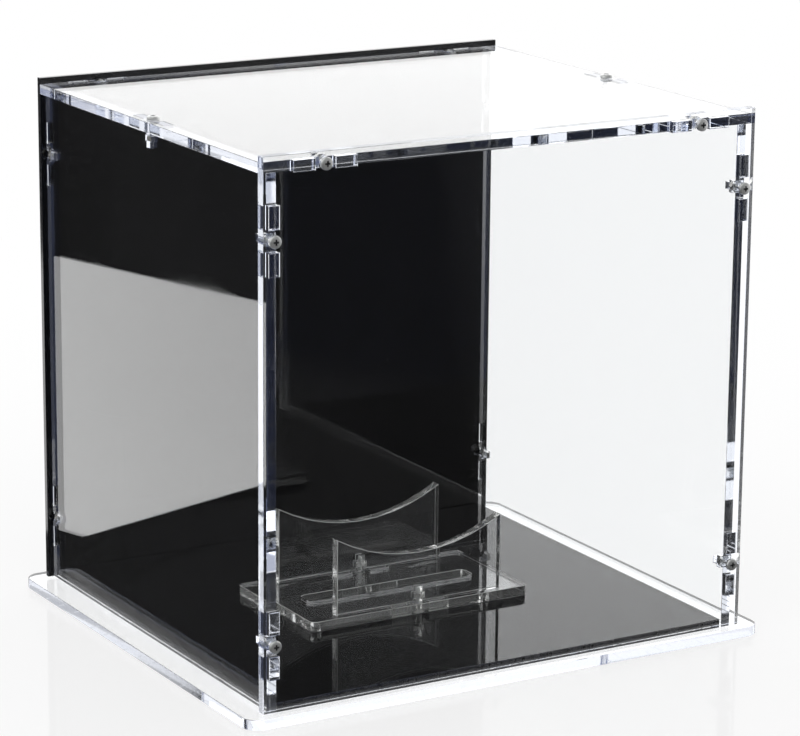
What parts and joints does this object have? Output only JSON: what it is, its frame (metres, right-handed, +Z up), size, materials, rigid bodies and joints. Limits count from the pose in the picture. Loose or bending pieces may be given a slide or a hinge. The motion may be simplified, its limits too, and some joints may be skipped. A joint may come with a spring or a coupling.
{
  "type": "display case",
  "caption": "Tabletop display case for a handball: a clear acrylic hood with a black back lifts straight off a flat base, and a loose cradle stand sits inside.",
  "frame": {"origin": "middle of the base plate's underside", "axes": "+Z up, -Y the clear front, +Y the black back, +X the right-hand side seen from the front"},
  "size_m": [0.282, 0.245, 0.26],
  "materials": {
    "clear_acrylic": "clear polished acrylic sheet",
    "black_acrylic": "black mirror-gloss acrylic sheet",
    "screw_steel": "zinc-plated steel",
    "nut_steel": "bright zinc-plated steel"
  },
  "bodies": {
    "base": {"base_plate": "clear_acrylic", "base_panel": "black_acrylic"},
    "hood": {"front_panel": "clear_acrylic", "left_panel": "clear_acrylic", "right_panel": "clear_acrylic", "top_panel": "clear_acrylic", "back_panel": "black_acrylic", "front_left_screws": "screw_steel", "front_right_screws": "screw_steel", "front_top_screws": "screw_steel", "back_left_screws": "screw_steel", "back_right_screws": "screw_steel", "back_top_screws": "screw_steel", "side_top_screws": "screw_steel", "front_left_nuts": "nut_steel", "front_right_nuts": "nut_steel", "front_top_nuts": "nut_steel", "back_left_nuts": "nut_steel", "back_right_nuts": "nut_steel", "back_top_nuts": "nut_steel", "side_top_nuts": "nut_steel"},
    "stand": {"stand_plate": "clear_acrylic", "front_cradle": "clear_acrylic", "rear_cradle": "clear_acrylic", "cradle_screws": "screw_steel", "cradle_nuts": "nut_steel"}
  },
  "joints": [
    {"name": "hood_lift", "type": "slide", "parent": "base", "child": "hood", "axis": [0, 0, 1], "range_m": [0, 0.25]},
    {"name": "stand_lift", "type": "slide", "parent": "base", "child": "stand", "axis": [0, 0, 1], "range_m": [0, 0.15]}
  ]
}
